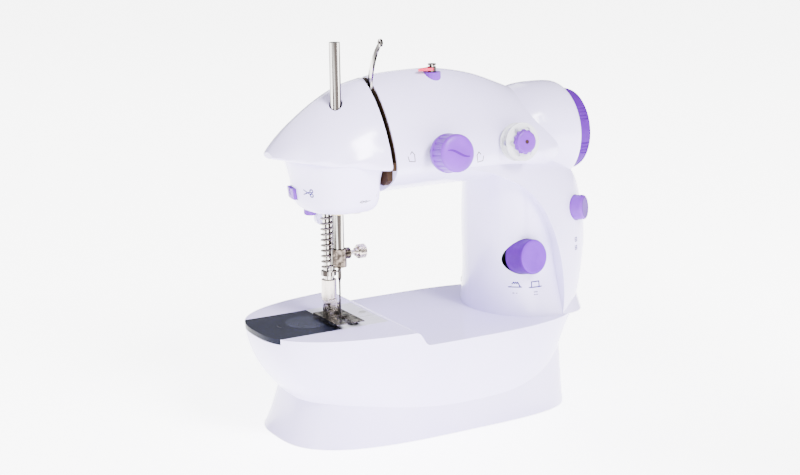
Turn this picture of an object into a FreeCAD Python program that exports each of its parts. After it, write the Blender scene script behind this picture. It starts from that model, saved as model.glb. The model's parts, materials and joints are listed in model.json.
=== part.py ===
import FreeCAD, Part
import math
import os
import re
import Sketcher
from FreeCAD import Placement, Rotation
from FreeCAD import Vector as V

# A mini two-speed domestic sewing machine, in millimetres.
# Origin: centre of the foot's flat underside.  +X runs towards the handwheel,
# +Y towards the back and +Z up.

doc = FreeCAD.newDocument("SewingMachine")
sheet = doc.addObject("Spreadsheet::Sheet", "Dims")

DIMENSIONS = {
    "wall": 2.0,                # moulded casings
    "gap": 0.3,                 # free space between moving bodies
    "fit": 0.05,                # running clearance on a radius
    "foot_half_length": 83.0,
    "foot_half_width": 46.5,
    "deck_level": 52.0,         # recessed deck in front of the column
    "bow_level": 59.5,          # raised deck around the needle plate
    "bow_tip": 93.0,
    "bed_half_width": 50.0,
    "shaft_level": 147.5,
    "shaft_dia": 6.0,
    "arm_half_width": 33.2,
    "slot_plane": -27.0,
    "slot_width": 3.0,
    "needle_x": -48.5,
    "needle_y": -10.0,
    "needle_bar_dia": 5.7,
    "needle_bar_top": 207.0,
    "needle_bar_end": 94.0,
    "presser_x": -48.0,
    "presser_y": 3.3,
    "presser_bar_dia": 5.4,
    "presser_bar_end": 70.0,
    "presser_bar_top": 156.0,
    "wheel_dia": 44.8,
    "wheel_width": 9.5,
    "wheel_x": 93.5,
    "hook_x": -63.0,
    "bobbin_dia": 20.3,
    "bobbin_width": 10.5,
    "lower_shaft_y": 10.0,
    "lower_shaft_level": 30.0,
    "lower_shaft_dia": 4.0,
    "motor_level": 84.0,
    "knob_dia": 20.5,
    "knob_x": 1.0,
    "spool_x": 46.0,
    "face_level": 148.5,        # height of the knob and the spool on the arm
    "face_tilt": 9.0,           # how far the front faces lean back, degrees
    "speed_button_dia": 19.0,
    "power_button_dia": 13.7,
    "cover_end": -53.0,         # seam between the bobbin cover and the needle plate
    "plate_end": -26.0,
    "plate_half_width": 21.4,
}
for row, (word, value) in enumerate(DIMENSIONS.items(), start=1):
    sheet.set(f"A{row}", word)
    sheet.set(f"B{row}", str(value))
    sheet.setAlias(f"B{row}", word)
doc.recompute()

X_AXIS = V(1, 0, 0)
Y_AXIS = V(0, 1, 0)
Z_AXIS = V(0, 0, 1)
RING_POINTS = 40
SAMPLES = 720
nodes = []


def size(word):
    return float(sheet.get(word))


def bound(text):
    """An expression on the sheet's cells, written with their aliases only."""
    return re.sub(r"[a-z_]+", lambda found: "Dims." + found.group(0), str(text))


def node(item):
    item.Label = item.Name
    nodes.append(item)
    return item


def feature(name, shape, place=None):
    item = doc.addObject("Part::Feature", name)
    item.Shape = shape
    if place is not None:
        item.Placement = place
    return item


def cylinder(name, radius, length, base, axis=Z_AXIS):
    item = doc.addObject("Part::Cylinder", name)
    item.setExpression("Radius", bound(radius))
    item.setExpression("Height", bound(length))
    item.Placement = Placement(V(*base), Rotation(Z_AXIS, axis))
    return item


def cone(name, radius_low, radius_high, length, base, axis=Z_AXIS):
    item = doc.addObject("Part::Cone", name)
    item.setExpression("Radius1", bound(radius_low))
    item.setExpression("Radius2", bound(radius_high))
    item.setExpression("Height", bound(length))
    item.Placement = Placement(V(*base), Rotation(Z_AXIS, axis))
    return item


def box(name, low, high, turn=None):
    item = doc.addObject("Part::Box", name)
    item.Length, item.Width, item.Height = (high[i] - low[i] for i in range(3))
    item.Placement = Placement(V(*low), turn or Rotation())
    return item


def fused(name, pieces):
    item = doc.addObject("Part::MultiFuse", name)
    item.Shapes = pieces
    return item


def group(name, pieces):
    item = doc.addObject("Part::Compound", name)
    item.Links = pieces
    return item


def cut(name, base, tools):
    item = doc.addObject("Part::Cut", name)
    item.Base = base
    item.Tool = tools[0] if len(tools) == 1 else fused(name + "_tools", tools)
    return item


def tube(name, radius_out, radius_in, length, base, axis=Z_AXIS):
    outer = cylinder(name + "_outer", radius_out, length, base, axis)
    bore = cylinder(name + "_bore", radius_in, length, base, axis)
    return cut(name, outer, [bore])


def plate(name, length, width, thick, centre, holes=(), turn=None):
    """A rectangular PartDesign plate with round holes through it.

    holes are (x, y, radius) from the plate's centre."""
    body = doc.addObject("PartDesign::Body", name)
    planes = {origin.Role: origin for origin in body.Origin.OriginFeatures}
    outline = body.newObject("Sketcher::SketchObject", name + "_outline")
    outline.AttachmentSupport = (planes["XY_Plane"], [""])
    outline.MapMode = "FlatFace"
    corners = [V(-1, -1, 0), V(1, -1, 0), V(1, 1, 0), V(-1, 1, 0)]
    for index in range(4):
        outline.addGeometry(Part.LineSegment(corners[index], corners[(index + 1) % 4]))
    for index in range(4):
        outline.addConstraint(Sketcher.Constraint("Coincident", index, 2, (index + 1) % 4, 1))
    for index, kind in enumerate(["Horizontal", "Vertical", "Horizontal", "Vertical"]):
        outline.addConstraint(Sketcher.Constraint(kind, index))
    outline.addConstraint(Sketcher.Constraint("Symmetric", 0, 1, 1, 2, -1, 1))
    for edge, axis, value in ((0, "DistanceX", length), (1, "DistanceY", width)):
        index = outline.addConstraint(Sketcher.Constraint(axis, edge, 1, edge, 2, 2.0))
        outline.setExpression(f"Constraints[{index}]", bound(value))
    pad = body.newObject("PartDesign::Pad", name + "_pad")
    pad.Profile = outline
    pad.setExpression("Length", bound(thick))
    if holes:
        doc.recompute()
        before = body.Shape.Volume
        drilling = body.newObject("Sketcher::SketchObject", name + "_drilling")
        drilling.AttachmentSupport = (planes["XY_Plane"], [""])
        drilling.MapMode = "FlatFace"
        for x, y, radius in holes:
            drilling.addGeometry(Part.Circle(V(x, y, 0), Z_AXIS, radius))
        pocket = body.newObject("PartDesign::Pocket", name + "_pocket")
        pocket.Profile = drilling
        pocket.Type = 1
        pocket.Reversed = True
        doc.recompute()
        assert body.Shape.Volume < before, name + ": the holes cut nothing"
    body.Placement = Placement(V(*centre), turn or Rotation())
    return body


# ---------------------------------------------------------------- curved forms

def superellipse(reach_plus, reach_minus, rise_plus, rise_minus, power_of):
    """Evenly spaced points round a closed oval whose four quarters may differ."""
    dense = []
    for step in range(SAMPLES + 1):
        angle = 2 * math.pi * step / SAMPLES
        c, s = math.cos(angle), math.sin(angle)
        power = power_of(c, s)
        reach = reach_plus if c >= 0 else reach_minus
        rise = rise_plus if s >= 0 else rise_minus
        dense.append((math.copysign(reach * abs(c) ** (2 / power), c),
                      math.copysign(rise * abs(s) ** (2 / power), s)))
    run = [0.0]
    for (a, b), (c, d) in zip(dense, dense[1:]):
        run.append(run[-1] + math.hypot(c - a, d - b))
    points = []
    index = 0
    for step in range(RING_POINTS):
        target = run[-1] * step / RING_POINTS
        while run[index + 1] < target:
            index += 1
        share = (target - run[index]) / (run[index + 1] - run[index])
        points.append([dense[index][k] * (1 - share) + dense[index + 1][k] * share for k in (0, 1)])
    return points


def closed_wire(points):
    curve = Part.BSplineCurve()
    curve.interpolate(points, PeriodicFlag=True)
    return Part.Wire(curve.toShape())


def plan_ring(level, centre_x, left, right, half_width, power_left, power_right, power_back=None):
    """A horizontal oval section, whose back left quarter may be sharper or rounder."""
    def power(c, s):
        if c >= 0:
            return power_right
        return power_back if power_back and s >= 0 else power_left
    oval = superellipse(right, left, half_width, half_width, power)
    return closed_wire([V(centre_x + x, y, level) for x, y in oval])


def cross_ring(x, centre_level, half_width, up, down, power_up, power_down):
    """An upright oval section across the arm."""
    def power(c, s):
        return power_up if s >= 0 else power_down
    oval = superellipse(half_width, half_width, up, down, power)
    return closed_wire([V(x, y, centre_level + z) for y, z in oval])


def loft(rings):
    return Part.makeLoft(rings, True, False)


def curve_value(table, at):
    """The value on straight runs between the (position, value) knots of a table."""
    for (x0, y0), (x1, y1) in zip(table, table[1:]):
        if at <= x1:
            share = (at - x0) / (x1 - x0)
            return y0 + (y1 - y0) * share
    return table[-1][1]


def slab(profile, half=70.0):
    """A closed XZ profile drawn out along Y."""
    return Part.Face(profile).extrude(V(0, 2 * half, 0)).translated(V(0, -half, 0))


def spline_profile(knots, closing):
    """A closed XZ wire: a smooth curve through knots, then straight runs."""
    points = [V(x, 0, z) for x, z in knots]
    curve = Part.BSplineCurve()
    curve.interpolate(points)
    corners = [points[-1]] + [V(x, 0, z) for x, z in closing] + [points[0]]
    edges = [curve.toShape()]
    edges += [Part.makeLine(a, b) for a, b in zip(corners, corners[1:])]
    return Part.Wire(edges)


def solid_box(low, high):
    spans = [high[i] - low[i] for i in range(3)]
    return Part.makeBox(*spans, V(*low))


def rod(radius, length, base, axis=Z_AXIS):
    return Part.makeCylinder(radius, length, V(*base), axis)


# ------------------------------------------------------------------ the casings

WALL = size("wall")
DECK = size("deck_level")
BOW = size("bow_level")
SHAFT = size("shaft_level")
BED_CENTRE = 10.0

# level of the section, then how far the right-hand end reaches along X
RIGHT_END = [(8, 74), (16, 78), (26, 81.3), (36, 84.6), (44, 87.9), (52, 92.4), (60, 96.8), (70, 99.9),
             (84, 102.8), (96, 103.6), (110, 101.9), (125, 98.6), (135, 90), (143, 78), (150, 62)]


def bed_solid(inset, bottom, top):
    """The boat-shaped bed: its sides and bow draw in towards the foot."""
    rings = []
    for level in (bottom, 15.0, 24.0, 34.0, 44.0, 52.0, top):
        depth = max(0.0, BOW + 0.5 - level)
        bow = size("bow_tip") - 0.0128 * depth ** 2 - inset
        side = size("bed_half_width") - 0.0034 * depth ** 2 - inset
        right = curve_value(RIGHT_END, level) - BED_CENTRE - inset
        rings.append(plan_ring(level, BED_CENTRE, bow + BED_CENTRE, right, side, 2.7, 3.0))
    return loft(rings)


def foot_solid(inset, bottom, top):
    """The skirt under the bed, which flares out towards the table."""
    rings = []
    for level in (bottom, 6.0, 14.0, 24.0, top):
        rise = max(0.0, level)
        left = size("foot_half_length") - 9.0 * (rise / 24.0) ** 0.8 - inset
        side = size("foot_half_width") - 5.0 * (rise / 24.0) ** 0.8 - inset
        right = size("foot_half_length") - inset
        rings.append(plan_ring(level, 0.0, left, right, side, 2.9, 4.2))
    return loft(rings)


def deck_step():
    """What is cut away above the recessed deck, with its S-shaped step."""
    knots = [(-24.5, BOW), (-22.6, BOW - 0.9), (-20.6, (BOW + DECK) / 2), (-18.6, DECK + 0.9),
             (-16.5, DECK)]
    return slab(spline_profile(knots, [(130, DECK), (130, 80), (-24.5, 80)]))


bed_outer = bed_solid(0.0, 8.0, BOW).cut(deck_step())
bed_inner = bed_solid(WALL, 5.0, 55.0).cut(solid_box((-24, -60, DECK - WALL), (120, 60, 70)))
plate_half = size("plate_half_width")
cover_floor = BOW - 2.9
pocket = solid_box((-110, -plate_half - 0.25, cover_floor), (size("cover_end"), plate_half + 0.25, 80))
pocket = pocket.fuse(solid_box((size("cover_end"), -plate_half - 0.1, BOW - 1.0),
                               (size("plate_end") + 0.1, plate_half + 0.1, 80)))
well = rod(17.2, 10, (size("hook_x"), 0, 52)).fuse(solid_box((-60, -18, 52), (-30, 15, 62)))
column_way = solid_box((50, -20, 45), (86, 20, 55)).fuse(solid_box((45, -16, 45), (52.5, 19.6, 55)))
PLATE_SCREW = (-29.5, 1.8)
plate_screw_way = rod(1.3, 6, (*PLATE_SCREW, BOW - 5))
bed_shell = bed_outer.cut(bed_inner).cut(pocket.fuse([well, column_way, plate_screw_way]))
node(feature("bed_shell", bed_shell))

foot_outer = foot_solid(0.0, 0.0, 42.0)
foot_inner = foot_solid(WALL, -1.0, 43.0)
node(feature("foot_shell", foot_outer.cut(foot_inner).cut(bed_solid(0.0, 8.0, BOW))))

PAD_SPOTS = [(-55, -24), (-55, 24), (58, -26), (58, 26)]
floor_plate = foot_solid(WALL + 0.2, -1.0, 43.0).common(solid_box((-100, -60, 0), (100, 60, 2)))
for x, y in PAD_SPOTS:
    floor_plate = floor_plate.cut(rod(6.5, 1.2, (x, y, 0)))
screw_spots = [(-64, 0), (62, 0), (5, -34), (5, 34)]
for x, y in screw_spots:
    floor_plate = floor_plate.cut(rod(1.6, 5, (x, y, -1))).cut(rod(3.0, 1.2, (x, y, 0)))
node(feature("bottom_cover", floor_plate))
node(group("foot_pads", [cylinder(f"foot_pad_{i}", "6.4", "1.2", (x, y, 0))
                         for i, (x, y) in enumerate(PAD_SPOTS)]))


# Outline of the top of the head and the arm, from the nose to the wheel housing.
TOP_LINE = [(-83.8, 150.6), (-82.6, 152.2), (-81, 154.2), (-76, 159.6), (-70, 165.3), (-62, 171.6),
            (-54, 177.1), (-46, 181.5), (-38, 184.4), (-28, 186.6), (-18, 187.9), (-8, 188.4), (2, 188.6),
            (12, 188.3), (22, 187.1), (32, 185.2), (42, 182.4), (52, 178.4), (62, 174.1), (70, 169.8),
            (76, 166.4), (82, 162)]
ARM_WIDTH = [(-60, 33), (-26, 33.2), (60, 34.0), (68, 33.0), (76, 29.0), (82, 20.0)]
ARM_CENTRE = 143.0
RIDGE_POWER = 1.5
ARM_STATIONS = (-25.8, -18.0, -8.0, 2.0, 12.0, 22.0, 32.0, 42.0, 52.0, 62.0, 70.0, 76.0, 82.0)


def arm_ring(x, inset):
    top = curve_value(TOP_LINE, x) - ARM_CENTRE - inset
    side = curve_value(ARM_WIDTH, x) - inset
    return cross_ring(x, ARM_CENTRE, side, top, 17.5 - inset, RIDGE_POWER, 1.7)


def arm_solid(inset):
    stations = [x + inset if x == ARM_STATIONS[0] else x for x in ARM_STATIONS]
    return loft([arm_ring(x, inset) for x in stations])


# level, centre along X, reach to the left and right, half width, power in front and behind
COLUMN = [(DECK - 1, 75.0, 37.0, 22.0, 39.5, 2.0, 2.0),
          (58.0, 70.0, 32.3, 27.0, 36.5, 2.05, 1.9),
          (66.0, 64.0, 26.8, 33.0, 33.8, 2.15, 1.7),
          (76.0, 58.5, 21.8, 38.5, 32.0, 2.25, 1.5),
          (90.0, 57.0, 20.5, 39.5, 31.3, 2.3, 1.5),
          (116.0, 57.0, 20.5, 37.0, 30.6, 2.3, 1.5),
          (141.0, 57.0, 20.5, 21.0, 30.0, 2.3, 1.5)]


def column_solid(inset):
    """The upright column under the arm, behind the arch."""
    rings = []
    for level, centre, left, right, side, front, back in COLUMN:
        rings.append(plan_ring(level, centre, left - inset, right - inset, side - inset, front, 2.6, back))
    return loft(rings)


# level, then half width of the rib
RIB_SIDE = [(DECK, 47.8), (125, 36.5), (132, 34.8), (137, 33.2), (142, 30.6), (150, 27.5)]


def arch_solid(inset):
    """The bow-shaped rib that runs from the bed up the right side into the arm."""
    rings = []
    for level in (DECK, 60, 70, 84, 96, 110, 122, 132, 142, 150):
        side = curve_value(RIB_SIDE, level) - inset
        right = curve_value(RIGHT_END, level) - BED_CENTRE - inset
        rings.append(plan_ring(level, BED_CENTRE, 60.0, right, side, 3.0, 3.0))
    knots = [(72.6, 50.0), (73.9, 60), (73.9, 72), (72.2, 85.5), (69.3, 96.8), (64.9, 107.6), (59.5, 116.1),
             (51.5, 124.1), (41.5, 130.2), (31, 134.6), (20, 137.5), (8, 139.5)]
    knots = [(x + inset, z) for x, z in knots]
    region = slab(spline_profile(knots, [(8 + inset, 152), (130, 152), (130, 50.0)]))
    return loft(rings).common(region)


def wheel_housing_solid(inset):
    """The round housing that the handwheel turns in."""
    start, shorter = 58.0, 1.0 - inset / 24.0
    rise = [(0, 24.0), (8, 27.2), (22, 28.3), (30, 28.0), (34.5, 26.8), (36, 25.4)]
    knots = [V(start + run * shorter, 0, radius - inset) for run, radius in rise]
    curve = Part.BSplineCurve()
    curve.interpolate(knots)
    edges = [curve.toShape()]
    corners = [knots[-1], V(knots[-1].x, 0, 0), V(start, 0, 0), knots[0]]
    edges += [Part.makeLine(a, b) for a, b in zip(corners, corners[1:])]
    turned = Part.Face(Part.Wire(edges)).revolve(V(0, 0, 0), X_AXIS, 360)
    return turned.translated(V(0, 0, SHAFT))


def arch_casing(inset):
    body = arm_solid(inset)
    return body.fuse([column_solid(inset), arch_solid(inset), wheel_housing_solid(inset)])


casing_outer = arch_casing(0.0)
casing_inner = arch_casing(WALL)
# the inner form also runs out through the column's foot
casing_inner = casing_inner.fuse(solid_box((50, -20, DECK - 3), (86, 20, DECK + 12)))
shaft_way = rod(4.0, 40, (-40, 0, SHAFT), X_AXIS)
wheel_recess = rod(22.9, 12, (92.6, 0, SHAFT), X_AXIS).fuse(rod(5.0, 20, (85.0, 0, SHAFT), X_AXIS))
casing = casing_outer.cut(casing_inner).cut(shaft_way.fuse(wheel_recess))
casing = casing.cut(solid_box((-200, -200, 0), (200, 200, DECK)))

# seats for the knob, the spool, the buttons and the sockets
TILT = size("face_tilt")


def turned_face(swing, tilt=TILT):
    """The outward direction of a front face that leans back and turns right by swing."""
    level, side = math.cos(math.radians(tilt)), math.sin(math.radians(tilt))
    angle = math.radians(swing)
    return V(level * math.sin(angle), -level * math.cos(angle), side)


FACE = turned_face(0)
KNOB_SEAT = V(size("knob_x"), -32.4, size("face_level"))
SPOOL_SEAT = V(size("spool_x"), -32.4, size("face_level") + 1.5)
SPEED_AXIS = turned_face(9)
SPEED_SEAT = V(53.7, -31.3, 85.9)
POWER_AXIS = turned_face(38, 6)
POWER_SEAT = V(88.5, -27.5, 108.3)


def back_face(x, level):
    """How far back the casing reaches at a spot."""
    return casing_outer.common(Part.makeLine(V(x, 0, level), V(x, 90, level))).BoundBox.YMax


POWER_JACK = V(84, back_face(84, 66) - 9.6, 66)
PEDAL_JACK = V(66, back_face(66, 66) - 10.0, 66)

TOP_PIN = (10.8, -6.0)
openings = [rod(1.6, 12, KNOB_SEAT - FACE * 6, FACE), rod(1.6, 12, SPOOL_SEAT - FACE * 6, FACE)]
openings.append(rod(size("speed_button_dia") / 2 + 0.35, 24, SPEED_SEAT - SPEED_AXIS * 14, SPEED_AXIS))
openings.append(rod(size("power_button_dia") / 2 + 0.35, 30, POWER_SEAT - POWER_AXIS * 14, POWER_AXIS))
openings.append(rod(4.65, 14, (*TOP_PIN, 178)))
for spot in (POWER_JACK, PEDAL_JACK):
    openings.append(rod(4.3, 24, spot, Y_AXIS))
screw_places = [(-14, 138), (60, 138), (52, 60), (58, 104)]
BACK_SCREWS = [V(x, back_face(x, level) - 0.8, level) for x, level in screw_places]
for spot in BACK_SCREWS:
    openings.append(rod(3.2, 20, spot, Y_AXIS))
    openings.append(rod(1.6, 12, spot - V(0, 10, 0), Y_AXIS))
for index in range(7):
    openings.append(solid_box((64 + 4 * index, 10, 78), (65.8 + 4 * index, 60, 94)))
for tool in openings:
    casing = casing.cut(tool)
seam = 0.08
node(feature("front_casing", casing.common(solid_box((-60, -90, 0), (150, -seam, 260)))))
node(feature("back_casing", casing.common(solid_box((-60, seam, 0), (150, 90, 260)))))


# ------------------------------------------------------------------- the head

NOSE = -83.8
HEAD_START = -28.8


def head_ring(x, inset):
    share = (HEAD_START - x) / (HEAD_START - NOSE)
    centre = ARM_CENTRE + 7.5 * share
    side = 33.6 * (1 - share ** 2) ** 0.6 - inset
    up = curve_value(TOP_LINE, x) - centre - inset
    down = max(0.3, 3.0 - 1.8 * share - inset)
    return cross_ring(x, centre, side, up, down, RIDGE_POWER, 1.9)


def head_solid(inset):
    stations = [HEAD_START - inset, -34, -42, -50, -58, -65, -71, -76, -80.0 + inset * 0.2, -82.6 + inset]
    return loft([head_ring(x, inset) for x in stations])


def housing_solid(inset):
    """The rounded block under the head that carries the two bars."""
    rings = []
    bottom = 119.5 + inset
    for rise, rounding in ((0.0, 5.0), (1.2, 2.2), (4.0, 0.6), (9.0, 0.0), (18.0, 0.0), (27.5, 0.0)):
        less = rounding + inset
        left = 19.0 + 0.14 * rise - less
        half = 24.0 + 0.19 * rise - less
        rings.append(plan_ring(bottom + rise, -46.6, left, 17.6 - less, half, 2.0, 6.0))
    return loft(rings)


NEEDLE = (size("needle_x"), size("needle_y"))
PRESSER = (size("presser_x"), size("presser_y"))
head_outer = head_solid(0.0)
head_inner = head_solid(1.8)
housing_outer = housing_solid(0.0)
head_cover = head_outer.cut(head_inner).cut(housing_outer)
head_cover = head_cover.cut(rod(3.5, 60, (*NEEDLE, 150))).cut(rod(4.0, 20, (-40, 0, SHAFT), X_AXIS))
node(feature("head_cover", head_cover))
housing = housing_outer.cut(housing_solid(WALL)).cut(rod(4.0, 20, (-40, 0, SHAFT), X_AXIS))
housing = housing.cut(solid_box((HEAD_START, -60, 100), (0, 60, 160)))
housing = housing.cut(rod(4.45, 10, (*NEEDLE, 115))).cut(rod(4.45, 10, (*PRESSER, 115)))
LAMP_SWITCH = V(-59.5, 0.0, 117.6)
housing = housing.cut(rod(3.7, 8, (LAMP_SWITCH.x, LAMP_SWITCH.y, 116)))
lamp_spot = (-40.0, -12.0)
housing = housing.cut(rod(4.0, 8, (*lamp_spot, 116)))
cutter_slot = solid_box((-75, 0.2, 125.4), (-63.4, 11.8, 131.5))
housing = housing.cut(cutter_slot)
LIFTER = V(-38.0, 0.0, 131.0)
housing = housing.cut(rod(3.05, 20, (LIFTER.x, 15, LIFTER.z), Y_AXIS))
node(feature("bar_housing", housing))

slot_low, slot_high = HEAD_START, HEAD_START + size("slot_width")
liner = loft([arm_ring(slot_low, 0.9), arm_ring(slot_high, 0.9)])
lever_room = solid_box((slot_low + 0.4, -60, 146), (slot_high - 0.4, 15.5, 200))
liner = liner.cut(lever_room).cut(rod(4.0, 20, (-40, 0, SHAFT), X_AXIS))
PIVOT = V(0, 8.0, 158.0)
liner = liner.cut(solid_box((-40, -60, 100), (0, 60, 133)))
for side in (-60, 27.8):
    liner = liner.cut(solid_box((-40, side, 100), (0, side + 32.2, 142.0)))
liner = liner.fuse(rod(1.5, size("slot_width"), (slot_low, PIVOT.y, PIVOT.z), X_AXIS))
node(feature("take_up_slot_liner", liner))

cutter = solid_box((-70.6, 0.5, 125.7), (-64.4, 11.5, 131.2))
cutter = cutter.cut(solid_box((-72, 4.8, 127.6), (-66.0, 6.4, 140)))
node(feature("thread_cutter", cutter.common(housing_solid(-1.6))))
node(fused("head_lamp", [cylinder("lamp_lens", "3.9", "2.6", (*lamp_spot, 118.2)),
                         cylinder("lamp_base", "3.0", "1.2", (*lamp_spot, 120.6))]))

# ------------------------------------------------------- needle and presser bars

bar_radius = "needle_bar_dia / 2"
node(cylinder("needle_bar", bar_radius, "needle_bar_top - needle_bar_end", (*NEEDLE, size("needle_bar_end"))))
driver_low = 142.8
driver = box("driver_block", (NEEDLE[0] - 4.5, NEEDLE[1] - 4.5, driver_low),
             (-40.0, NEEDLE[1] + 4.5, driver_low + 5))
driver_pin = cylinder("driver_pin", "1.6", "2.6", (-40.0, NEEDLE[1], driver_low + 2.5), X_AXIS)
driver_way = cylinder("driver_way", bar_radius, "5", (*NEEDLE, driver_low))
node(cut("needle_bar_driver", fused("driver_body", [driver, driver_pin]), [driver_way]))

crank_throw = 10.0
link_low = V(0, NEEDLE[1], driver_low + 2.5)
link_high = V(0, 0, SHAFT + crank_throw)
link_run = link_high - link_low
link_web = feature("link_web", Part.makeBox(1.6, 4.0, link_run.Length, V(-39.2, -2.0, 0)).rotated(
    V(0, 0, 0), X_AXIS, -math.degrees(math.atan2(link_run.y, link_run.z))).translated(link_low))
link_eyes = [cylinder(f"link_eye_{i}", "3.2", "1.6", (-39.2, spot.y, spot.z), X_AXIS)
             for i, spot in enumerate((link_low, link_high))]
link_holes = [cylinder("link_pin_hole", "1.6", "4", (-40.0, link_low.y, link_low.z), X_AXIS),
              cylinder("link_crank_hole", "1.9", "4", (-40.0, link_high.y, link_high.z), X_AXIS)]
node(cut("crank_link", fused("link_body", [link_web] + link_eyes), link_holes))

clamp_level = 94.5
clamp_body = cylinder("clamp_body", "4.0", "9.5", (*NEEDLE, clamp_level - 4.5))
clamp_boss = cylinder("clamp_boss", "3.0", "3.2", (NEEDLE[0] + 2.6, NEEDLE[1], clamp_level + 2), X_AXIS)
clamp_bores = [cylinder("clamp_bore", bar_radius, "8", (*NEEDLE, size("needle_bar_end"))),
               cylinder("clamp_needle_bore", "1.0", "12", (*NEEDLE, clamp_level - 6)),
               cylinder("clamp_screw_bore", "1.25", "12", (NEEDLE[0] + size("needle_bar_dia") / 2, NEEDLE[1],
                                                           clamp_level + 2), X_AXIS)]
node(cut("needle_clamp", fused("clamp_parts", [clamp_body, clamp_boss]), clamp_bores))
screw_start = NEEDLE[0] + size("needle_bar_dia") / 2 + 0.35
node(fused("needle_clamp_screw", [
    cylinder("clamp_screw_stem", "1.2", "9.0", (screw_start, NEEDLE[1], clamp_level + 2), X_AXIS),
    cylinder("clamp_screw_collar", "2.2", "2.0", (screw_start + 6.0, NEEDLE[1], clamp_level + 2), X_AXIS),
    cylinder("clamp_screw_head", "3.75", "4.4", (screw_start + 7.6, NEEDLE[1], clamp_level + 2), X_AXIS)]))

NEEDLE_TIP = 62.0
node(fused("needle", [cylinder("needle_shank", "1.0", "10.0", (*NEEDLE, 84.0)),
                      cone("needle_shoulder", "0.5", "1.0", "2.0", (*NEEDLE, 82.0)),
                      cylinder("needle_blade", "0.5", "17.0", (*NEEDLE, 65.0)),
                      cone("needle_point", "0.08", "0.5", "3.0", (*NEEDLE, NEEDLE_TIP))]))

guide_path = [V(NEEDLE[0] - 3.95, NEEDLE[1] - 1.5, 91.2), V(NEEDLE[0] - 7.0, NEEDLE[1] - 2.5, 91.0),
              V(NEEDLE[0] - 9.0, NEEDLE[1] - 4.5, 90.0), V(NEEDLE[0] - 6.5, NEEDLE[1] - 6.0, 89.4),
              V(NEEDLE[0] - 2.0, NEEDLE[1] - 5.0, 89.8)]


def wire_form(points, radius):
    """A round wire bent along a smooth path."""
    curve = Part.BSplineCurve()
    curve.interpolate(points)
    path = Part.Wire(curve.toShape())
    tangent = curve.tangent(curve.FirstParameter)[0]
    section = Part.Wire(Part.makeCircle(radius, points[0], tangent))
    return path.makePipeShell([section], True, True)


node(feature("needle_thread_guide", wire_form(guide_path, 0.45)))

presser_rod = cylinder("presser_rod", "presser_bar_dia / 2", "presser_bar_top - presser_bar_end",
                       (*PRESSER, size("presser_bar_end")))
node(fused("presser_bar", [presser_rod, cylinder("presser_collar", "4.1", "2.4", (*PRESSER, 82.4))]))

SPRING_LOW, SPRING_HIGH = 85.0, 118.2
spring_turns = 11.0
coil_pitch = (SPRING_HIGH - SPRING_LOW - 1.2) / spring_turns
helix = Part.makeHelix(coil_pitch, coil_pitch * spring_turns, 3.45)
coil_start = V(3.45, 0, 0)
coil = Part.Wire(helix).makePipeShell([Part.Wire(Part.makeCircle(0.55, coil_start, V(0, 1, 0)))], True, True)
node(feature("presser_spring", coil, Placement(V(*PRESSER, SPRING_LOW + 0.6), Rotation())))

# the foot's holder: a slotted block on the bar, with a pin for the foot
SOLE = 60.6
HINGE = V(0, PRESSER[1] - 2.8, 65.4)
holder = rod(4.0, 11, (*PRESSER, 69.0)).cut(rod(size("presser_bar_dia") / 2, 12, (*PRESSER, 70.0)))
holder = holder.fuse(solid_box((PRESSER[0] - 2.0, HINGE.y - 2.2, HINGE.z - 2.0),
                               (PRESSER[0] + 2.0, PRESSER[1] + 3.2, 70.0)))
holder = holder.fuse(rod(0.9, 9.0, (PRESSER[0] - 4.5, HINGE.y, HINGE.z), X_AXIS))
node(feature("foot_holder", holder))

sole = solid_box((PRESSER[0] - 8.5, -22.0, SOLE), (PRESSER[0] + 7.5, 6.0, SOLE + 1.7))
tip_lift = Part.makeBox(40, 12, 3, V(-70, -27.0, SOLE - 3.0)).rotated(V(-50, -17.0, SOLE), X_AXIS, -14)
sole = sole.cut(tip_lift)
toe_gap = solid_box((NEEDLE[0] - 2.2, -30, SOLE - 1), (NEEDLE[0] + 2.2, -6.0, SOLE + 4))
toe_gap = toe_gap.fuse(solid_box((NEEDLE[0] + 2.2, -12, SOLE - 1), (NEEDLE[0] + 4.4, -8.5, SOLE + 4)))
sole = sole.cut(toe_gap)
for side in (-1, 1):
    inner, outer = PRESSER[0] + side * 2.35, PRESSER[0] + side * 4.2
    low, high = min(inner, outer), max(inner, outer)
    ear = solid_box((low, HINGE.y - 2.4, SOLE + 1.2), (high, HINGE.y + 2.4, HINGE.z))
    sole = sole.fuse(ear.fuse(rod(2.4, 1.85, (low, HINGE.y, HINGE.z), X_AXIS)))
sole = sole.cut(rod(0.95, 12, (PRESSER[0] - 6, HINGE.y, HINGE.z), X_AXIS))
node(feature("presser_foot", sole))

bush_spots = [(NEEDLE, bar_radius, 118.2, 4.4), (PRESSER, "presser_bar_dia / 2", 118.4, 4.4),
              (NEEDLE, bar_radius, 160.2, 5.0), (PRESSER, "presser_bar_dia / 2", 150.0, 4.6)]
node(group("bar_bushes", [tube(f"bar_bush_{i}", "4.4", f"{inner} + fit", str(tall), (*spot, low))
                          for i, (spot, inner, low, tall) in enumerate(bush_spots)]))

lifter = rod(3.0, 13.4, (LIFTER.x, 21.6, LIFTER.z), Y_AXIS)
lifter = lifter.fuse(rod(4.6, 3.4, (LIFTER.x, 28.4, LIFTER.z), Y_AXIS))
lifter = lifter.fuse(solid_box((LIFTER.x - 2.6, 28.6, LIFTER.z - 24), (LIFTER.x + 2.6, 31.6, LIFTER.z)))
lifter = lifter.fuse(rod(4.0, 3.0, (LIFTER.x, 28.6, LIFTER.z - 24), Y_AXIS))
node(feature("presser_lifter", lifter))

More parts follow.
